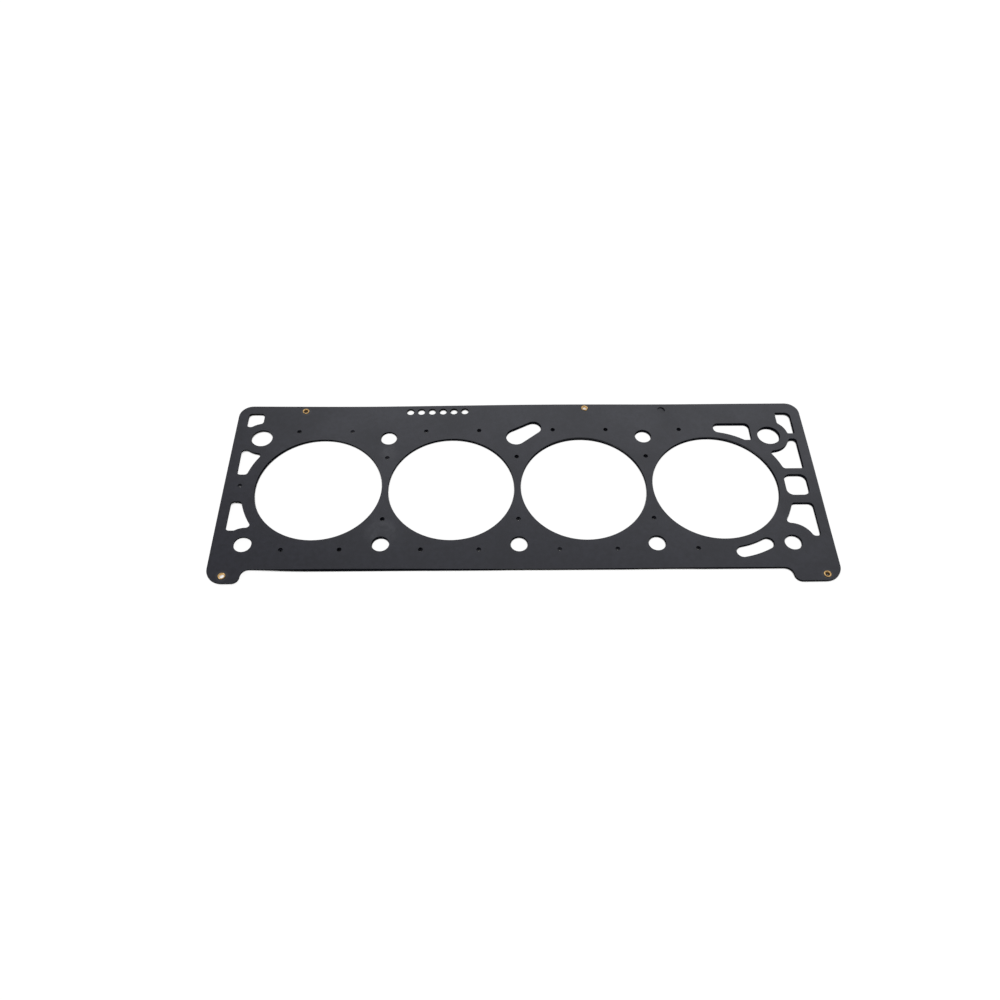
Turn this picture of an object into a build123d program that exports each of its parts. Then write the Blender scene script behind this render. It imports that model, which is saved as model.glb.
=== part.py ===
from build123d import *
import os

# Head gasket for an engine with four bores in one row, made of three thin steel sheets.
# The outer sheets are flat. The one between has pressed beads that hold the outer ones apart.
# Four brass eyelets keep the sheets together.
# Millimetres. X runs along the bores, Y across them to the rear edge, Z up to the cylinder head.
# The origin is the middle of the bore row, on the underside, which lies on the block.

# Bores
bore_diameter = 82.0
bore_web = 4.0
bore_count = 4

# Sheets, and the gaps that the beads hold between them
bottom_thickness = 0.25
beaded_thickness = 0.4
top_thickness = 0.25
bead_height = 0.6

# Pressed beads: a crest up round each bore, and a crest down all round outside them
bore_bead_land = 1.7
outer_bead_land = 3.8
bead_foot = 2.0
bead_crest = 0.7

# Outline: how far each edge lies outside the bores
left_margin = 20.0
right_margin = 26.2
rear_margin = 30.0
front_margin = 21.0
ear_depth = 9.5
left_ear_width = 20.7
right_ear_width = 29.2
rear_corner_radius = 9.0
ear_outer_radius = 10.5
ear_inner_radius = 4.5
ear_root_radius = 5.0

# Head bolt holes and dowel holes, placed from the bore edges
bolt_hole_diameter = 11.0
front_bolt_offset = 2.8
rear_bolt_offset = 1.2
end_bolt_offset = 1.0
end_dowel_offset = 1.4
left_dowel_hole_diameter = 14.0
right_dowel_hole_diameter = 15.2

# Slot that joins the middle bolt hole of the rear row to an oil drain
slot_bolt_end_diameter = 13.6
slot_drain_end_diameter = 10.8
slot_drain_end_x = 11.9
slot_drain_end_offset = 9.0

# Ports at the two ends: rims to the outline, round lands to the bores, bolts and dowels
left_rim = 6.7
right_rim = 6.7
port_bore_land = 8.0
left_dowel_land = 6.0
right_dowel_land = 5.6
left_bolt_land = 7.0
right_bolt_land = 9.0
port_corner_radius = 2.2

# Left ports: one behind the dowel hole, and two on each side of the bore row's centre line
rear_left_port_width = 10.9
rear_left_port_rim = 6.8
rear_left_port_height = 12.1
left_port_gap = 21.8
left_upper_port_end = 10.3
left_lower_port_end = 10.4

# Right ports: one behind the dowel hole, and two on each side of a square one
rear_right_port_width = 10.4
rear_right_port_rim = 8.6
rear_right_port_height = 18.7
rear_right_port_corner = 1.0
rear_right_port_round = 3.6
right_port_gap = 27.6
right_upper_port_end = 3.0
right_lower_port_end = 4.6
right_upper_port_corner = 1.2
right_lower_port_corner = 3.0
square_port_width = 14.9
square_port_height = 16.6
square_port_y = 0.6
square_port_corner = 4.5

# Three-cornered port and curved slot beside the last bore
corner_port_land = 5.0
corner_port_length = 24.9
corner_port_height = 14.8
corner_port_rim = 17.9
corner_port_inset = 10.5
corner_port_corner = 3.6
corner_port_tip = 1.8
curved_slot_land = 6.2
curved_slot_width = 8.3
curved_slot_start = -79.4
curved_slot_sweep = 19.6

# Small coolant holes, wide in the outer sheets and narrow in the beaded one
small_hole_diameter = 3.0
metering_hole_diameter = 1.5
small_hole_spread = 18.0
small_hole_offset = 7.0
web_hole_inset = 16.0
end_hole_offset = 9.8
end_hole_y = 1.7

# Row of thickness code holes near the rear edge, and a mark hole that only the top sheet has
code_hole_diameter = 5.3
code_hole_pitch = 7.5
code_hole_count = 6
code_row_offset = -10.7
code_row_edge = 5.3
mark_hole_offset = 15.0

# Brass eyelets
eyelet_hole_diameter = 2.7
eyelet_wall = 0.3
eyelet_rim_diameter = 4.6
eyelet_rim_height = 0.45
eyelet_clearance = 0.05
rear_left_eyelet_inset = 45.3
rear_left_eyelet_edge = 4.5
rear_middle_eyelet_offset = 4.9
rear_middle_eyelet_edge = 3.5
left_ear_eyelet_inset = 10.0
left_ear_eyelet_edge = 5.1
right_ear_eyelet_inset = 9.2
right_ear_eyelet_edge = 4.4

# Levels of the sheets
bottom_level = 0.0
beaded_level = bottom_level + bottom_thickness + bead_height
beaded_face = beaded_level + beaded_thickness
top_level = beaded_face + bead_height
top_face = top_level + top_thickness

# Bore row, and the outline round it
bore_radius = bore_diameter / 2
bore_pitch = bore_diameter + bore_web
bore_centres = [((i - (bore_count - 1) / 2) * bore_pitch, 0) for i in range(bore_count)]
first_bore = bore_centres[0]
last_bore = bore_centres[-1]
web_xs = [x + bore_pitch / 2 for x, _ in bore_centres[:-1]]
row_end = last_bore[0] + bore_radius
left_edge = -row_end - left_margin
right_edge = row_end + right_margin
rear_edge = bore_radius + rear_margin
front_edge = -bore_radius - front_margin
ear_edge = front_edge - ear_depth

# Bolt and dowel holes, and the ends of the drain slot
front_bolt_y = -bore_radius - front_bolt_offset
rear_bolt_y = bore_radius + rear_bolt_offset
left_bolt = (-row_end - end_bolt_offset, front_bolt_y)
right_bolt = (row_end + end_bolt_offset, front_bolt_y)
left_dowel = (-row_end - end_dowel_offset, rear_bolt_y)
right_dowel = (row_end + end_dowel_offset, rear_bolt_y)
bolt_holes = [left_bolt, *[(x, front_bolt_y) for x in web_xs], right_bolt]
bolt_holes += [(web_xs[0], rear_bolt_y), (web_xs[-1], rear_bolt_y)]
slot_bolt_end = (web_xs[len(web_xs) // 2], rear_bolt_y)
slot_drain_end = (slot_bolt_end[0] + slot_drain_end_x, bore_radius + slot_drain_end_offset)

# Small coolant holes: in front of and behind each bore, in the webs, and one at the left end.
# The last bore lacks the outer two, where the three-cornered port and the curved slot are.
small_hole_y = bore_radius + small_hole_offset
web_hole_y = bore_radius - web_hole_inset
small_holes = [(-row_end - end_hole_offset, end_hole_y)]
for side in (-1, 1):
    small_holes += [(x - small_hole_spread, side * small_hole_y) for x, _ in bore_centres]
    small_holes += [(x + small_hole_spread, side * small_hole_y) for x, _ in bore_centres[:-1]]
    small_holes += [(x, side * web_hole_y) for x in web_xs]

# Code holes behind the second bore, and the mark hole past the last web
code_row = (bore_centres[1][0] + code_row_offset, rear_edge - code_row_edge)
mark_hole = (web_xs[-1] + mark_hole_offset, rear_edge - code_row_edge)

# Eyelets: two near the rear edge, one of them behind the last bore but one, and two in the ears
eyelet_hole_radius = eyelet_hole_diameter / 2
barrel_radius = eyelet_hole_radius + eyelet_wall
rim_radius = eyelet_rim_diameter / 2
rear_middle_eyelet_x = bore_centres[-2][0] + rear_middle_eyelet_offset
eyelet_places = {
    "eyelet_rear_left": (left_edge + rear_left_eyelet_inset, rear_edge - rear_left_eyelet_edge),
    "eyelet_rear_middle": (rear_middle_eyelet_x, rear_edge - rear_middle_eyelet_edge),
    "eyelet_front_left": (left_edge + left_ear_eyelet_inset, ear_edge + left_ear_eyelet_edge),
    "eyelet_front_right": (right_edge - right_ear_eyelet_inset, ear_edge + right_ear_eyelet_edge),
}


def rounded_port(west, east, south, north, lands, corner_radius, odd_corners=()):
    """A port: a rectangle cut back by the round lands beside it, with its corners rounded.

    Each land is a centre and a radius. Each odd corner is a point near it and its own radius."""
    with BuildSketch() as port:
        with Locations(((west + east) / 2, (south + north) / 2)):
            Rectangle(east - west, north - south)
        for centre, radius in lands:
            with Locations(centre):
                Circle(radius, mode=Mode.SUBTRACT)
        # Where two lands nearly touch they leave a sliver beside the port, which is dropped
        add(port.faces().sort_by(SortBy.AREA)[-1], mode=Mode.REPLACE)
        odd = [port.vertices().sort_by_distance(point)[0] for point, _ in odd_corners]
        fillet([corner for corner in port.vertices() if corner not in odd], corner_radius)
        for point, radius in odd_corners:
            fillet(port.vertices().sort_by_distance(point)[0], radius)
    return port.sketch


def bead_band(foot_plane, land):
    """A band round all the bores, wide at foot_plane and narrower at its crest."""
    middle = bore_radius + land
    upright = (Align.CENTER, Align.CENTER, Align.MIN)
    with BuildPart(foot_plane) as band:
        with Locations(*bore_centres):
            Cone(middle + bead_foot / 2, middle + bead_crest / 2, bead_height, align=upright)
        with Locations(*bore_centres):
            Cone(
                middle - bead_foot / 2,
                middle - bead_crest / 2,
                bead_height,
                align=upright,
                mode=Mode.SUBTRACT,
            )
    return band.part


# Outline of the sheets, anticlockwise from the left ear
with BuildSketch() as outline:
    with BuildLine():
        FilletPolyline(
            (left_edge, ear_edge),
            (left_edge + left_ear_width, ear_edge),
            (left_edge + left_ear_width, front_edge),
            (right_edge - right_ear_width, front_edge),
            (right_edge - right_ear_width, ear_edge),
            (right_edge, ear_edge),
            (right_edge, rear_edge),
            (left_edge, rear_edge),
            radius=[
                ear_outer_radius,
                ear_inner_radius,
                ear_root_radius,
                ear_root_radius,
                ear_inner_radius,
                ear_outer_radius,
                rear_corner_radius,
                rear_corner_radius,
            ],
            close=True,
        )
    make_face()

# Round lands that the ports keep clear of
left_dowel_boss = (left_dowel, left_dowel_hole_diameter / 2 + left_dowel_land)
right_dowel_boss = (right_dowel, right_dowel_hole_diameter / 2 + right_dowel_land)
left_bolt_boss = (left_bolt, bolt_hole_diameter / 2 + left_bolt_land)
right_bolt_boss = (right_bolt, bolt_hole_diameter / 2 + right_bolt_land)
first_bore_boss = (first_bore, bore_radius + port_bore_land)
last_bore_boss = (last_bore, bore_radius + port_bore_land)

# Ports left of the first bore
left_port_west = left_edge + left_rim
left_port_inner_y = left_port_gap / 2
rear_left_port = rounded_port(
    west=left_port_west,
    east=left_port_west + rear_left_port_width,
    south=rear_edge - rear_left_port_rim - rear_left_port_height,
    north=rear_edge - rear_left_port_rim,
    lands=[left_dowel_boss],
    corner_radius=port_corner_radius,
)
left_upper_port = rounded_port(
    west=left_port_west,
    east=first_bore[0],
    south=left_port_inner_y,
    north=rear_bolt_y - left_upper_port_end,
    lands=[left_dowel_boss, first_bore_boss],
    corner_radius=port_corner_radius,
)
left_lower_port = rounded_port(
    west=left_port_west,
    east=first_bore[0],
    south=front_bolt_y + left_lower_port_end,
    north=-left_port_inner_y,
    lands=[left_bolt_boss, first_bore_boss],
    corner_radius=port_corner_radius,
)

# Ports right of the last bore
right_port_east = right_edge - right_rim
right_port_inner_y = right_port_gap / 2
rear_right_port = rounded_port(
    west=right_port_east - rear_right_port_width,
    east=right_port_east,
    south=rear_edge - rear_right_port_rim - rear_right_port_height,
    north=rear_edge - rear_right_port_rim,
    lands=[right_dowel_boss],
    corner_radius=rear_right_port_corner,
    odd_corners=[((right_edge, rear_edge), rear_right_port_round)],
)
right_upper_port = rounded_port(
    west=last_bore[0],
    east=right_port_east,
    south=right_port_inner_y,
    north=rear_bolt_y - right_upper_port_end,
    lands=[right_dowel_boss, last_bore_boss],
    corner_radius=port_corner_radius,
    odd_corners=[((right_port_east, right_port_inner_y), right_upper_port_corner)],
)
right_lower_port = rounded_port(
    west=last_bore[0],
    east=right_port_east,
    south=front_bolt_y + right_lower_port_end,
    north=-right_port_inner_y,
    lands=[right_bolt_boss, last_bore_boss],
    corner_radius=port_corner_radius,
    odd_corners=[((right_port_east, -right_port_inner_y), right_lower_port_corner)],
)

# Port between the last bore and the dowel hole behind it
corner_port_east = row_end - corner_port_inset
corner_port_north = rear_edge - corner_port_rim
corner_port_south = corner_port_north - corner_port_height
corner_port = rounded_port(
    west=corner_port_east - corner_port_length,
    east=corner_port_east,
    south=corner_port_south,
    north=corner_port_north,
    lands=[(last_bore, bore_radius + corner_port_land)],
    corner_radius=corner_port_corner,
    odd_corners=[
        ((corner_port_east, corner_port_south), corner_port_tip),
        ((last_bore[0] + bore_radius / 2, corner_port_south), corner_port_tip),
    ],
)

# Every opening that all three sheets have at the same size
with BuildSketch() as openings:
    with Locations(*bore_centres):
        Circle(bore_radius)
    with Locations(*bolt_holes):
        Circle(bolt_hole_diameter / 2)
    with Locations(left_dowel):
        Circle(left_dowel_hole_diameter / 2)
    with Locations(right_dowel):
        Circle(right_dowel_hole_diameter / 2)
    with Locations(code_row):
        with GridLocations(code_hole_pitch, 0, code_hole_count, 1):
            Circle(code_hole_diameter / 2)
    with Locations(*eyelet_places.values()):
        Circle(barrel_radius + eyelet_clearance)
    with Locations((right_port_east - square_port_width / 2, square_port_y)):
        RectangleRounded(square_port_width, square_port_height, square_port_corner)
    for port in (
        rear_left_port,
        left_upper_port,
        left_lower_port,
        rear_right_port,
        right_upper_port,
        right_lower_port,
        corner_port,
    ):
        add(port)

# Tapered slot from the middle rear bolt hole to its oil drain
with BuildSketch() as drain_slot:
    with Locations(slot_bolt_end):
        Circle(slot_bolt_end_diameter / 2)
    with Locations(slot_drain_end):
        Circle(slot_drain_end_diameter / 2)
    make_hull()

# Slot that follows the last bore
curved_slot_radius = bore_radius + curved_slot_land + curved_slot_width / 2
with BuildLine() as curved_slot_path:
    CenterArc(last_bore, curved_slot_radius, curved_slot_start, curved_slot_sweep)
with BuildSketch() as curved_slot:
    SlotArc(curved_slot_path.edges()[0], curved_slot_width)


def draw_sheet(small_hole_size):
    """The face of one sheet: the outline, less every opening, with small holes of the given size."""
    add(outline.sketch)
    add(openings.sketch, mode=Mode.SUBTRACT)
    add(drain_slot.sketch, mode=Mode.SUBTRACT)
    add(curved_slot.sketch, mode=Mode.SUBTRACT)
    with Locations(*small_holes):
        Circle(small_hole_size / 2, mode=Mode.SUBTRACT)


# Top sheet: flat, with the mark hole that the sheets below it lack
with BuildPart() as top_sheet:
    with BuildSketch(Plane.XY.offset(top_level)):
        draw_sheet(small_hole_diameter)
        with Locations(mark_hole):
            Circle(code_hole_diameter / 2, mode=Mode.SUBTRACT)
    extrude(amount=top_thickness)
top_sheet.part.label = "top_sheet"

# Beaded sheet: a crest on one face is a groove of the same form in the other
facing_down = Plane(origin=(0, 0, 0), z_dir=(0, 0, -1))
with BuildPart() as beaded_sheet:
    with BuildSketch(Plane.XY.offset(beaded_level)):
        draw_sheet(metering_hole_diameter)
    extrude(amount=beaded_thickness)
    add(bead_band(Plane.XY.offset(beaded_face), bore_bead_land))
    add(bead_band(Plane.XY.offset(beaded_level), bore_bead_land), mode=Mode.SUBTRACT)
    add(bead_band(facing_down.offset(-beaded_level), outer_bead_land))
    add(bead_band(facing_down.offset(-beaded_face), outer_bead_land), mode=Mode.SUBTRACT)
beaded_sheet.part.label = "beaded_sheet"

# Bottom sheet: flat
with BuildPart() as bottom_sheet:
    with BuildSketch(Plane.XY.offset(bottom_level)):
        draw_sheet(small_hole_diameter)
    extrude(amount=bottom_thickness)
bottom_sheet.part.label = "bottom_sheet"

# Eyelets: a thin barrel through the sheets, with a rim rolled over on each side
rim_middle = (eyelet_hole_radius + rim_radius) / 2
eyelets = []
for name, (x, y) in eyelet_places.items():
    with BuildPart() as eyelet:
        with BuildSketch(Plane(origin=(x, y, 0), x_dir=(1, 0, 0), z_dir=(0, -1, 0))):
            with BuildLine():
                Line((eyelet_hole_radius, bottom_level), (eyelet_hole_radius, top_face))
                ThreePointArc(
                    (eyelet_hole_radius, top_face),
                    (rim_middle, top_face + eyelet_rim_height),
                    (rim_radius, top_face),
                )
                Polyline(
                    (rim_radius, top_face),
                    (barrel_radius, top_face),
                    (barrel_radius, bottom_level),
                    (rim_radius, bottom_level),
                )
                ThreePointArc(
                    (rim_radius, bottom_level),
                    (rim_middle, bottom_level - eyelet_rim_height),
                    (eyelet_hole_radius, bottom_level),
                )
            make_face()
        revolve(axis=Axis((x, y, 0), (0, 0, 1)))
    eyelet.part.label = name
    eyelets.append(eyelet.part)

os.makedirs("parts", exist_ok=True)
for piece in (bottom_sheet.part, beaded_sheet.part, top_sheet.part, *eyelets):
    export_step(piece, f"parts/{piece.label}.step")
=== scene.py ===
import math

import bpy
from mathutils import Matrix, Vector


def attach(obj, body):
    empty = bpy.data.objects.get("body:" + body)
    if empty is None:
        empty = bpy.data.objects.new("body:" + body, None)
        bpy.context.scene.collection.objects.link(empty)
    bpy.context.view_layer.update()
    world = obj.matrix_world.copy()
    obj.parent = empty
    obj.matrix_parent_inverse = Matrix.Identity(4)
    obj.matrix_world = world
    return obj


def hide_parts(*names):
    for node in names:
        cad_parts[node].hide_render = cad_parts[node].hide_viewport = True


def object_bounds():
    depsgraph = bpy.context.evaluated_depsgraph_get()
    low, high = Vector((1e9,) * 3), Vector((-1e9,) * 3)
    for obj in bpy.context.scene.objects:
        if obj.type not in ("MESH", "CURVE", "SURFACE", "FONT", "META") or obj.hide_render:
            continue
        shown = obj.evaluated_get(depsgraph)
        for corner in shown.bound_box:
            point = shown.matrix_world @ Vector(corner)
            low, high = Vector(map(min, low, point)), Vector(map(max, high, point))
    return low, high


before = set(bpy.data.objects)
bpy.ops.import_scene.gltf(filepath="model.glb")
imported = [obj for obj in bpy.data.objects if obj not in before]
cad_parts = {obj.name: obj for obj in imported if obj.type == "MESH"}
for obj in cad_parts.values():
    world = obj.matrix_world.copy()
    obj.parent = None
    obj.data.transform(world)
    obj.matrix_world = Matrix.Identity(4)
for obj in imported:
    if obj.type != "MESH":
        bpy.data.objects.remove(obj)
cad_low, cad_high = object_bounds()
mm = 0.001

# Viewpoint: a camera above the front edge, a little left of the middle, looking down at about 54 degrees.
# Its lens and place come from fitting the gasket's own holes and edges to the photograph.
lens_mm = 32.177
sensor_mm = 36.0
nearest_seen = 10 * mm
camera_place = (-0.018200, -0.347971, 0.465709)
camera_turn = [math.radians(degrees) for degrees in (36.03014, -0.34425, -0.66235)]
bpy.ops.object.camera_add(location=camera_place, rotation=camera_turn)
camera = bpy.context.object
camera.name = "photo_camera"
camera.data.sensor_width = sensor_mm
camera.data.lens = lens_mm
camera.data.clip_start = nearest_seen
bpy.context.scene.camera = camera
bpy.context.scene.view_settings.view_transform = "Standard"

# Floor: a plain white table top, on which the gasket rests with the lowest places of its bottom sheet.
# The camera sees it as white paper, with a soft shadow close to the gasket's edges that is partly lit and
# partly painted shade.
floor_level = -0.45 * mm
floor_size = 8.0
floor_white = "#e6e6e6"
shadow_reach = 2.2 * mm
shadow_samples = 16
glow_share = 0.8
bpy.ops.object.select_all(action="DESELECT")
bpy.ops.mesh.primitive_plane_add(size=floor_size, location=(0, 0, floor_level))
floor = bpy.context.object
floor.name = "table_top"


def linear(hex_code):
    """A colour written as sRGB hex, as the linear values that a shader takes."""
    shares = [int(hex_code[start : start + 2], 16) / 255 for start in (1, 3, 5)]
    curved = [share / 12.92 if share <= 0.04045 else ((share + 0.055) / 1.055) ** 2.4 for share in shares]
    return (*curved, 1.0)


def add_node(tree, kind, inputs=None, **settings):
    """Adds one node. Each input takes a value or the socket that feeds it; settings are the node's own."""
    node = tree.nodes.new(kind)
    for name, value in settings.items():
        setattr(node, name, value)
    for name, value in (inputs or {}).items():
        if isinstance(value, bpy.types.NodeSocket):
            tree.links.new(value, node.inputs[name])
        else:
            node.inputs[name].default_value = value
    return node


def new_material(name):
    """An empty material, its node tree and its output node."""
    material = bpy.data.materials.new(name)
    material.use_nodes = True
    material.node_tree.nodes.clear()
    return material, material.node_tree, add_node(material.node_tree, "ShaderNodeOutputMaterial")


# White table paper, matt all over. To the eye and in reflections it glows up to white, and an ambient
# occlusion node dims the glow as a painted shade in the narrow gap between table and gasket, where little of
# the room's light reaches
paper, tree, output = new_material("white_table")
ray = add_node(tree, "ShaderNodeLightPath")
by_eye = add_node(
    tree,
    "ShaderNodeMath",
    {0: ray.outputs["Is Camera Ray"], 1: ray.outputs["Is Glossy Ray"]},
    operation="MAXIMUM",
)
lit = add_node(tree, "ShaderNodeBsdfDiffuse", {"Color": linear(floor_white)})
# Ambient occlusion that dims the floor's glow near the gasket: a painted shade
occlusion_for_painted_shade = add_node(tree, "ShaderNodeAmbientOcclusion", {"Distance": shadow_reach}, samples=shadow_samples)
glow_strength = add_node(
    tree,
    "ShaderNodeMapRange",
    {"Value": occlusion_for_painted_shade.outputs["AO"], "From Min": 0.5, "From Max": 0.64, "To Min": 0.0, "To Max": 1.17},
)
glow = add_node(tree, "ShaderNodeEmission", {"Strength": glow_strength.outputs[0]})
white = add_node(tree, "ShaderNodeMixShader", {0: glow_share, 1: lit.outputs[0], 2: glow.outputs[0]})
shown = add_node(tree, "ShaderNodeMixShader", {0: by_eye.outputs[0], 1: lit.outputs[0], 2: white.outputs[0]})
tree.links.new(shown.outputs[0], output.inputs["Surface"])
floor.data.materials.append(paper)

# Studio light: a bright room, a large soft box high behind the right half and a square one high on the left.
# The satin coating shows the large one as a wide pale patch over the rear and the middle webs.
room_strength = 0.5
room = bpy.data.worlds.new("bright_room")
bpy.context.scene.world = room
room.use_nodes = True
tree = room.node_tree
tree.nodes.clear()
ray = add_node(tree, "ShaderNodeLightPath")
by_eye = add_node(
    tree,
    "ShaderNodeMath",
    {0: ray.outputs["Is Camera Ray"], 1: ray.outputs["Is Transmission Ray"]},
    operation="MAXIMUM",
)
strength = add_node(
    tree,
    "ShaderNodeMapRange",
    {"Value": by_eye.outputs[0], "To Min": room_strength, "To Max": 1.0},
)
air = add_node(tree, "ShaderNodeBackground", {"Color": (1, 1, 1, 1), "Strength": strength.outputs[0]})
tree.links.new(air.outputs[0], add_node(tree, "ShaderNodeOutputWorld").inputs["Surface"])


def hang_soft_box(name, place, width, height, watts, colour):
    """A rectangular area light at that place, turned to face the gasket."""
    bpy.ops.object.light_add(type="AREA", location=place)
    box = bpy.context.object
    box.name = name
    box.rotation_euler = (-Vector(place)).to_track_quat("-Z", "Y").to_euler()
    box.data.shape = "RECTANGLE"
    box.data.size = width
    box.data.size_y = height
    box.data.energy = watts
    box.data.color = colour


hang_soft_box(
    "rear_soft_box", place=(0.25, 1.10, 1.08), width=1.6, height=0.75, watts=3.9, colour=(0.93, 0.95, 1.0)
)
hang_soft_box(
    "left_soft_box", place=(-1.3, -0.5, 1.3), width=1.0, height=1.0, watts=5.0, colour=(1.0, 1.0, 1.0)
)

# Sheets: three thin spring steel stampings with a satin coat of black nitrile rubber, the middle one beaded.
# Unclamped, they part round the bores, and the eyelets pinch them together in the ears and at the rear.
# The CAD sheets are flat, so each gets a copy of its own skin, cut into a grid and bent a millimetre or two.
top_thickness = 0.25 * mm
beaded_thickness = 0.4 * mm
bottom_thickness = 0.25 * mm
bead_height = 0.6 * mm
# Undersides of the flat sheets
flat_bottom = 0.0 * mm
flat_beaded = 0.85 * mm
flat_top = 1.85 * mm
bore_radius = 41 * mm
bore_xs = [x * mm for x in (-129, -43, 43, 129)]
grid_step = 8 * mm
crease_angle = 30
# Corners closer than this are merged
merge_distance = 0.001 * mm
# Corners this near a bore's circle are on it, and an edge between two that are level runs along it
circle_distance = 0.02 * mm
level_distance = 0.01 * mm
# The new corners where such an edge is cut lie at most this far inside the circle
chord_distance = 0.1 * mm
# The upper face of the top sheet where nothing swells
lowest_top_face = 0.75 * mm
# Where the whole gasket swells up from the table: the middle of each swell, its height, and the radii to
# which it stays at that height and at which it ends, all in mm
swells = (
    ((-105, -65), 1.6, 0, 130),
    ((30, 55), 1.5, 0, 145),
    ((210, 30), 0.8, 0, 185),
    ((-240, 0), 1.92, 0, 160),
    ((110, -64), 0.5, 0, 85),
    ((200, 70), 0.8, 30, 120),
)
# Where the sheets spring apart, in the same way: round the bores, by the front edge, at the right end, and by
# the small holes behind the last bore and the first
partings = (
    ((-129, 0), 1.0, 41, 64),
    ((-43, 0), 1.7, 61, 70),
    ((43, 0), 1.7, 61, 70),
    ((129, 0), 1.7, 60, 68),
    ((-86, -65), 1.7, 25, 85),
    ((195, 0), 1.4, 45, 85),
    ((115, 62), 1.1, 6, 24),
    ((-130, 56), 1.0, 24, 36),
)
# Where the eyelets go through, in mm. They hold the sheets together up to held_radius, and less and less up
# to free_radius
eyelet_places = {
    "eyelet_rear_left": (-144.7, 66.5),
    "eyelet_rear_middle": (47.9, 67.5),
    "eyelet_front_left": (-180.0, -66.4),
    "eyelet_front_right": (187.0, -67.1),
}
held_radius = 5 * mm
free_radius = 15 * mm
# The beaded sheet stays by the bottom one, at most this far above it
widest_lower_gap = 0.12 * mm


def eased(share):
    """A share kept between 0 and 1, which starts and ends gently."""
    share = min(max(share, 0), 1)
    return (3 - 2 * share) * share**2


def swollen(x, y, places):
    """The height that smooth round swells add up to at a point."""
    height = 0
    for middle, rise, level_radius, end_radius in places:
        away = math.hypot(x / mm - middle[0], y / mm - middle[1])
        height += rise * mm * eased((end_radius - away) / (end_radius - level_radius))
    return height


def sheet_levels(x, y):
    """Undersides of the bottom, beaded and top sheets at a point."""
    top = lowest_top_face + swollen(x, y, swells) - top_thickness
    room = top - beaded_thickness - bottom_thickness - floor_level
    from_eyelet = min(math.hypot(x - place[0] * mm, y - place[1] * mm) for place in eyelet_places.values())
    freedom = eased((from_eyelet - held_radius) / (free_radius - held_radius))
    parted = min(swollen(x, y, partings) * freedom, room)
    bottom = top - parted - beaded_thickness - bottom_thickness
    return bottom, bottom + bottom_thickness + min(parted / 2, widest_lower_gap), top


def round_bores(skin):
    """Cuts the edges along each bore in four, and moves their corners out onto the circle."""
    bpy.ops.object.mode_set(mode="EDIT")
    bpy.ops.mesh.select_mode(type="EDGE")
    bpy.ops.mesh.select_all(action="DESELECT")
    bpy.ops.object.mode_set(mode="OBJECT")
    bore_of = {}
    for corner in skin.data.vertices:
        for x in bore_xs:
            if abs(math.hypot(corner.co.x - x, corner.co.y) - bore_radius) < circle_distance:
                bore_of[corner.index] = x
    for edge in skin.data.edges:
        start, end = edge.vertices
        climb = abs(skin.data.vertices[start].co.z - skin.data.vertices[end].co.z)
        edge.select = climb < level_distance and start in bore_of and end in bore_of
    bpy.ops.object.mode_set(mode="EDIT")
    bpy.ops.mesh.subdivide(number_cuts=3)
    bpy.ops.object.mode_set(mode="OBJECT")
    for corner in skin.data.vertices:
        for x in bore_xs:
            out = Vector((corner.co.x - x, corner.co.y))
            if abs(out.length - bore_radius) < chord_distance:
                out.length = bore_radius
                corner.co.xy = (out.x + x, out.y)


def skin_of(name):
    """A copy of a CAD sheet's skin with its corners merged, cut along the lines of a square grid."""
    skin = bpy.data.objects.new(name + "_sprung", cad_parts[name].data.copy())
    bpy.context.scene.collection.objects.link(skin)
    bpy.ops.object.select_all(action="DESELECT")
    skin.select_set(True)
    bpy.context.view_layer.objects.active = skin
    bpy.ops.object.mode_set(mode="EDIT")
    bpy.ops.mesh.select_all(action="SELECT")
    bpy.ops.mesh.remove_doubles(threshold=merge_distance)
    bpy.ops.mesh.normals_make_consistent(inside=False)
    bpy.ops.mesh.customdata_custom_splitnormals_clear()
    round_bores(skin)
    bpy.ops.object.mode_set(mode="EDIT")
    bpy.ops.mesh.select_mode(type="VERT")
    for axis in (0, 1):
        place = [0, 0, 0]
        normal = [0, 0, 0]
        normal[axis] = 1
        place[axis] = math.ceil(cad_low[axis] / grid_step) * grid_step
        while place[axis] < cad_high[axis]:
            bpy.ops.mesh.select_all(action="SELECT")
            bpy.ops.mesh.bisect(plane_co=place, plane_no=normal)
            place[axis] += grid_step
    bpy.ops.mesh.select_all(action="SELECT")
    bpy.ops.mesh.quads_convert_to_tris(quad_method="BEAUTY", ngon_method="BEAUTY")
    bpy.ops.mesh.beautify_fill(angle_limit=math.radians(1))
    bpy.ops.object.mode_set(mode="OBJECT")
    return skin


top_sheet = skin_of("top_sheet")
for corner in top_sheet.data.vertices:
    corner.co.z += sheet_levels(corner.co.x, corner.co.y)[2] - flat_top

bottom_sheet = skin_of("bottom_sheet")
for corner in bottom_sheet.data.vertices:
    corner.co.z += sheet_levels(corner.co.x, corner.co.y)[0] - flat_bottom

# The beads press flat where the sheets are pinched, and keep their full height where there is room
beaded_sheet = skin_of("beaded_sheet")
for corner in beaded_sheet.data.vertices:
    bottom, beaded, top = sheet_levels(corner.co.x, corner.co.y)
    above_underside = corner.co.z - flat_beaded
    in_sheet = min(max(above_underside, 0), beaded_thickness)
    gap = top - beaded - beaded_thickness if above_underside > 0 else beaded - bottom - bottom_thickness
    corner.co.z = beaded + in_sheet + (above_underside - in_sheet) * min(gap / bead_height, 1)

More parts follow.
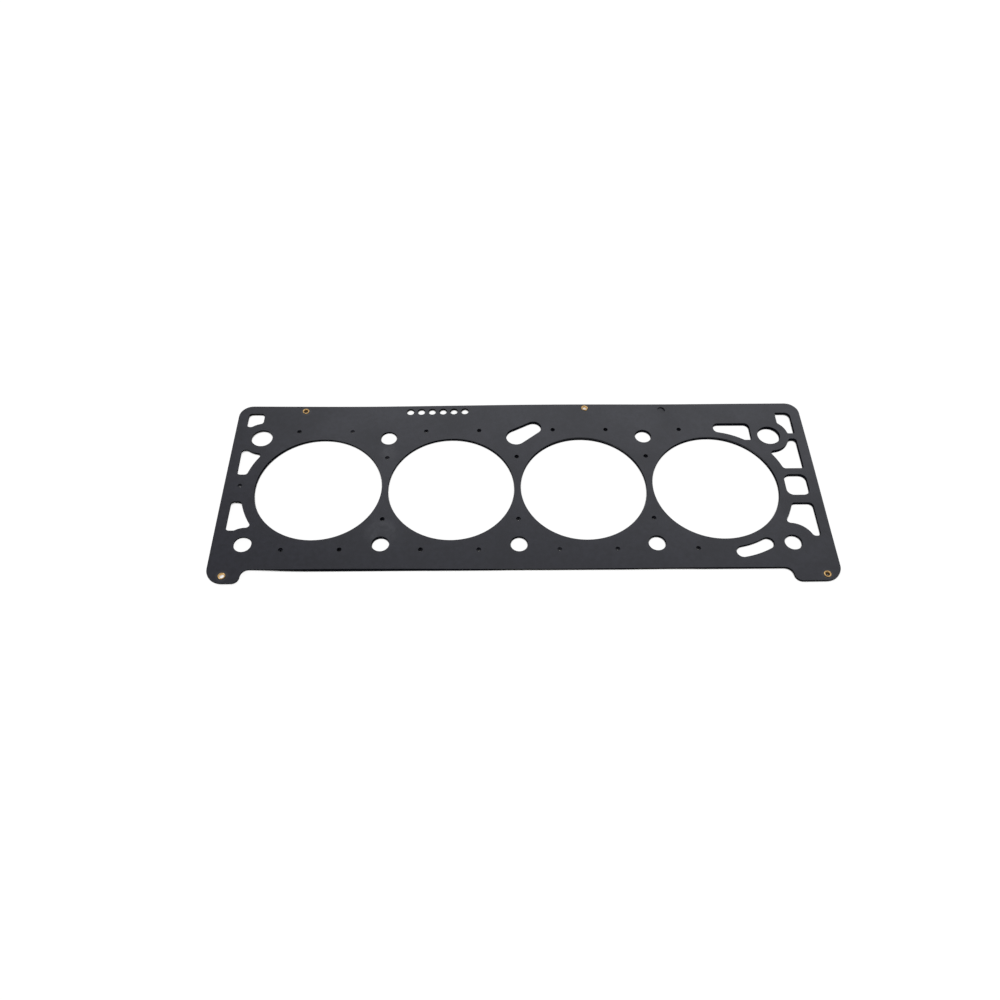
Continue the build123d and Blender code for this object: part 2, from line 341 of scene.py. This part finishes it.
# Steel with nitrile rubber rolled on and cured before stamping. The eye sees a blue-black satin skin with
# soft clouds, a mottle and a faint grain. The faces where the steel was cut get a near-black painted shade
# in place of their bright bare steel. The real grain is too fine to show, so it is drawn 0.8 mm wide
rubber_dark = "#1b1c26"
rubber_pale = "#242530"
scuffed_rubber = "#3e3f46"
# Near-black painted shade for the cut faces, which are bright bare steel on the real sheets
cut_face_painted_shade = "#0a0a0c"
cloud_size = 38 * mm
mottle_size = 3.2 * mm
grain_size = 0.8 * mm
grain_depth = 0.05 * mm
streak_size = 5 * mm
# A face whose normal has a smaller share of Z than this is a cut edge, painted near black as shade
least_upright = 0.5
# Faint pale scuffs, each with its middle and the radii between which it fades, in mm: two on the first web,
# and the marks that the punch left round three eyelets
scuffs = (
    ((-86, -35), 5, 13),
    ((-85, 30), 2, 9),
    (eyelet_places["eyelet_rear_left"], 2.6, 4.2),
    (eyelet_places["eyelet_front_left"], 2.6, 4.6),
    (eyelet_places["eyelet_front_right"], 2.6, 4.2),
)
coated, tree, output = new_material("rubber_coated_steel")
place = add_node(tree, "ShaderNodeTexCoord")
clouds = add_node(
    tree,
    "ShaderNodeTexNoise",
    {"Vector": place.outputs["Object"], "Scale": 1 / cloud_size, "Detail": 3.0, "Roughness": 0.55},
)
mottle = add_node(
    tree,
    "ShaderNodeTexNoise",
    {"Vector": place.outputs["Object"], "Scale": 1 / mottle_size, "Detail": 2.0},
)
grain = add_node(
    tree,
    "ShaderNodeTexNoise",
    {"Vector": place.outputs["Object"], "Scale": 1 / grain_size, "Detail": 1.0},
)
shade = add_node(tree, "ShaderNodeMath", {0: clouds.outputs[0], 1: mottle.outputs[0]}, operation="MULTIPLY")
shade_share = add_node(
    tree,
    "ShaderNodeMapRange",
    {"Value": shade.outputs[0], "From Min": 0.15, "From Max": 0.36},
)
rubber = add_node(
    tree,
    "ShaderNodeMix",
    {0: shade_share.outputs[0], 6: linear(rubber_dark), 7: linear(rubber_pale)},
    data_type="RGBA",
)
facing = add_node(tree, "ShaderNodeSeparateXYZ", {0: place.outputs["Normal"]})
upright = add_node(tree, "ShaderNodeMath", {0: facing.outputs["Z"]}, operation="ABSOLUTE")
cut_faces_painted_dark = add_node(tree, "ShaderNodeMath", {0: upright.outputs[0], 1: least_upright}, operation="LESS_THAN")
upwards = add_node(
    tree,
    "ShaderNodeMath",
    {0: facing.outputs["Z"], 1: least_upright},
    operation="GREATER_THAN",
)
on_plan = add_node(
    tree,
    "ShaderNodeVectorMath",
    {0: place.outputs["Object"], 1: (1, 1, 0)},
    operation="MULTIPLY",
)
scuffed = 0.0
for middle, inner_radius, outer_radius in scuffs:
    away = add_node(
        tree,
        "ShaderNodeVectorMath",
        {0: on_plan.outputs[0], 1: (middle[0] * mm, middle[1] * mm, 0)},
        operation="DISTANCE",
    )
    patch = add_node(
        tree,
        "ShaderNodeMapRange",
        {
            "Value": away.outputs["Value"],
            "From Min": inner_radius * mm,
            "From Max": outer_radius * mm,
            "To Min": 1.0,
            "To Max": 0.0,
        },
        interpolation_type="SMOOTHSTEP",
    )
    both = add_node(tree, "ShaderNodeMath", {0: scuffed, 1: patch.outputs[0]}, operation="MAXIMUM")
    scuffed = both.outputs[0]
streaks = add_node(
    tree,
    "ShaderNodeTexNoise",
    {"Vector": place.outputs["Object"], "Scale": 1 / streak_size, "Detail": 3.0, "Distortion": 0.8},
)
streak_share = add_node(
    tree,
    "ShaderNodeMapRange",
    {"Value": streaks.outputs[0], "From Min": 0.35, "From Max": 0.65, "To Min": 0.25, "To Max": 0.85},
)
scuff = add_node(tree, "ShaderNodeMath", {0: scuffed, 1: streak_share.outputs[0]}, operation="MULTIPLY")
top_scuff = add_node(
    tree,
    "ShaderNodeMath",
    {0: scuff.outputs[0], 1: upwards.outputs[0]},
    operation="MULTIPLY",
)
handled = add_node(
    tree,
    "ShaderNodeMix",
    {0: top_scuff.outputs[0], 6: rubber.outputs[2], 7: linear(scuffed_rubber)},
    data_type="RGBA",
)
# The cut faces get the near-black painted shade in place of the rubber colour
coat_and_cut_face_shade = add_node(
    tree,
    "ShaderNodeMix",
    {0: cut_faces_painted_dark.outputs[0], 6: handled.outputs[2], 7: linear(cut_face_painted_shade)},
    data_type="RGBA",
)
sheen = add_node(
    tree,
    "ShaderNodeMapRange",
    {"Value": clouds.outputs[0], "From Min": 0.3, "From Max": 0.7, "To Min": 0.36, "To Max": 0.28},
)
dulled = add_node(tree, "ShaderNodeMath", {0: sheen.outputs[0], 1: cut_faces_painted_dark.outputs[0]}, operation="MAXIMUM")
dimples = add_node(
    tree,
    "ShaderNodeBump",
    {"Height": grain.outputs[0], "Strength": 0.12, "Distance": grain_depth},
)
surface = add_node(
    tree,
    "ShaderNodeBsdfPrincipled",
    {
        "Base Color": coat_and_cut_face_shade.outputs[2],
        "Metallic": cut_faces_painted_dark.outputs[0],
        "Roughness": dulled.outputs[0],
        "Normal": dimples.outputs[0],
    },
)
tree.links.new(surface.outputs[0], output.inputs["Surface"])
for skin, name in ((top_sheet, "top_sheet"), (beaded_sheet, "beaded_sheet"), (bottom_sheet, "bottom_sheet")):
    bpy.ops.object.select_all(action="DESELECT")
    skin.select_set(True)
    bpy.context.view_layer.objects.active = skin
    bpy.ops.object.shade_smooth_by_angle(angle=math.radians(crease_angle))
    skin.data.materials.clear()
    skin.data.materials.append(coated)
    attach(skin, "root")
    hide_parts(name)

# Eyelets: hollow brass rivets that hold the sheets together for handling, one in each ear, two at the rear.
# Each is a drawn tube whose ends a punch rolled out onto the sheets, so no two rims have quite the same form.
eyelet_wall = 0.28 * mm
tube_sides = 64
# A rolled rim's section from the tube's end to its lip: millimetres out from the tube, and up from the sheet
rim_steps = ((0.04, 0.12), (0.13, 0.23), (0.26, 0.29), (0.41, 0.30), (0.55, 0.26), (0.64, 0.19), (0.68, 0.11))
crest_radius = 1.8 * mm
lip_radius = 1.95 * mm
lump_size = 1.1 * mm
lump_height = 0.06 * mm
# Each eyelet: its hole radius in mm, how much its rim's section is stretched, and the cracks and pushes on
# its upper rim. A crack is its bearing and its spread to either side in degrees. A push is those, then its
# way out, its way up and its reach in mm
eyelets = {
    "eyelet_rear_left": {
        "hole_radius": 1.32,
        "rim_width": 1.05,
        "cracks": [(247, 9)],
        "pushes": [(135, 25, 0.10, 0.03, 1.2), (285, 12, 0.16, -0.05, 0.7), (200, 10, -0.12, 0.0, 0.7)],
    },
    "eyelet_rear_middle": {
        "hole_radius": 1.35,
        "rim_width": 0.95,
        "cracks": [],
        "pushes": [(296, 8, 0.34, 0.0, 0.8), (235, 20, -0.20, 0.0, 1.3), (5, 6, 0.18, 0.0, 0.6)],
    },
    "eyelet_front_left": {
        "hole_radius": 1.42,
        "rim_width": 0.9,
        "cracks": [],
        "pushes": [(150, 20, 0.06, 0.02, 1.5)],
    },
    "eyelet_front_right": {
        "hole_radius": 1.30,
        "rim_width": 1.12,
        "cracks": [],
        "pushes": [(225, 25, 0.05, 0.14, 1.3), (60, 20, 0.08, -0.03, 1.2)],
    },
}

# Brass, drawn and then rolled by the punch. The eye sees bright yellow metal with duller and rougher stains
brass_bright = "#f2cb8c"
brass_dull = "#c39c66"
stain_size = 0.9 * mm
brass, tree, output = new_material("rolled_brass")
place = add_node(tree, "ShaderNodeTexCoord")
stains = add_node(
    tree,
    "ShaderNodeTexNoise",
    {"Vector": place.outputs["Object"], "Scale": 1 / stain_size, "Detail": 3.0},
)
cleanness = add_node(
    tree,
    "ShaderNodeMapRange",
    {"Value": stains.outputs[0], "From Min": 0.35, "From Max": 0.62},
)
metal = add_node(
    tree,
    "ShaderNodeMix",
    {0: cleanness.outputs[0], 6: linear(brass_dull), 7: linear(brass_bright)},
    data_type="RGBA",
)
sheen = add_node(tree, "ShaderNodeMapRange", {"Value": stains.outputs[0], "To Min": 0.42, "To Max": 0.22})
surface = add_node(
    tree,
    "ShaderNodeBsdfPrincipled",
    {"Base Color": metal.outputs[2], "Metallic": 1.0, "Roughness": sheen.outputs[0]},
)
tree.links.new(surface.outputs[0], output.inputs["Surface"])


def select_corners(piece, wanted):
    """Selects the corners whose place passes the test, and leaves the piece in edit mode."""
    bpy.ops.object.mode_set(mode="EDIT")
    bpy.ops.mesh.select_mode(type="VERT")
    bpy.ops.mesh.select_all(action="DESELECT")
    bpy.ops.object.mode_set(mode="OBJECT")
    for corner in piece.data.vertices:
        corner.select = wanted(corner.co)
    bpy.ops.object.mode_set(mode="EDIT")


def roll_tube(name, centre, hole_radius, rim_width):
    """A tube through the sheets at centre, both ends rolled out. rim_width stretches the roll's section."""
    radius = hole_radius + eyelet_wall / 2
    underside, _, top = sheet_levels(*centre.xy)
    top_face = top + top_thickness
    bpy.ops.object.select_all(action="DESELECT")
    bpy.ops.mesh.primitive_cylinder_add(
        vertices=tube_sides,
        radius=radius,
        depth=top_face - underside,
        end_fill_type="NOTHING",
        location=(*centre.xy, (top_face + underside) / 2),
    )
    tube = bpy.context.object
    tube.name = name
    bpy.ops.object.transform_apply(location=True)
    for side, face_level in ((1, top_face), (-1, underside)):
        select_corners(tube, lambda place: abs(place.z - face_level) < level_distance)
        reached = radius
        risen = 0
        for out, rise in rim_steps:
            climb = (0, 0, side * (rise * mm - risen))
            bpy.ops.mesh.extrude_region_move(TRANSFORM_OT_translate={"value": climb})
            wider = radius + out * rim_width * mm
            growth = wider / reached
            bpy.ops.transform.resize(value=(growth, growth, 1), center_override=(*centre.xy, 0))
            reached = wider
            risen = rise * mm
        bpy.ops.object.mode_set(mode="OBJECT")
    return tube


def on_rim(centre, bearing, spread, least_radius):
    """A test for places on the upper rim within spread degrees of a bearing, which turns left from +X."""
    along = Vector((math.cos(math.radians(bearing)), math.sin(math.radians(bearing))))
    top_face = sheet_levels(*centre.xy)[2] + top_thickness

    def wanted(place):
        out = (place - centre).xy
        if place.z <= top_face or out.length < least_radius:
            return False
        return out.angle(along) < math.radians(spread)

    return wanted


def push_rim(tube, centre, bearing, spread, outward, upward, reach):
    """Moves the lip of the upper rim at a bearing, and what lies within reach of it less and less."""
    along = Vector((math.cos(math.radians(bearing)), math.sin(math.radians(bearing)), 0))
    select_corners(tube, on_rim(centre, bearing, spread, lip_radius))
    bpy.ops.transform.translate(
        value=along * outward + Vector((0, 0, upward)),
        use_proportional_edit=True,
        proportional_edit_falloff="SMOOTH",
        proportional_size=reach,
        use_proportional_connected=True,
    )
    bpy.ops.object.mode_set(mode="OBJECT")


def split_rim(tube, centre, bearing, spread):
    """Opens a crack in the upper rim, from its crest to its lip."""
    select_corners(tube, on_rim(centre, bearing, spread, crest_radius))
    bpy.ops.mesh.delete(type="VERT")
    bpy.ops.object.mode_set(mode="OBJECT")


unevenness = bpy.data.textures.new("rolling_unevenness", "CLOUDS")
unevenness.noise_scale = lump_size
for name, form in eyelets.items():
    centre = Vector((*eyelet_places[name], 0)) * mm
    tube = roll_tube(name + "_rolled", centre, form["hole_radius"] * mm, form["rim_width"])
    for bearing, spread, outward, upward, reach in form["pushes"]:
        push_rim(tube, centre, bearing, spread, outward * mm, upward * mm, reach * mm)
    for bearing, spread in form["cracks"]:
        split_rim(tube, centre, bearing, spread)
    wall = tube.modifiers.new("wall", "SOLIDIFY")
    wall.thickness = eyelet_wall
    wall.offset = 0
    bumps = tube.modifiers.new("bumps", "DISPLACE")
    bumps.texture = unevenness
    bumps.strength = lump_height
    smooth = tube.modifiers.new("smooth", "SUBSURF")
    smooth.levels = smooth.render_levels = 1
    bpy.ops.object.select_all(action="DESELECT")
    tube.select_set(True)
    bpy.context.view_layer.objects.active = tube
    for modifier in [item.name for item in tube.modifiers]:
        bpy.ops.object.modifier_apply(modifier=modifier)
    bpy.ops.object.shade_smooth()
    bpy.ops.object.mode_set(mode="EDIT")
    bpy.ops.mesh.select_all(action="SELECT")
    bpy.ops.mesh.normals_make_consistent(inside=False)
    bpy.ops.object.mode_set(mode="OBJECT")
    tube.data.materials.append(brass)
    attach(tube, "root")
    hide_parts(name)
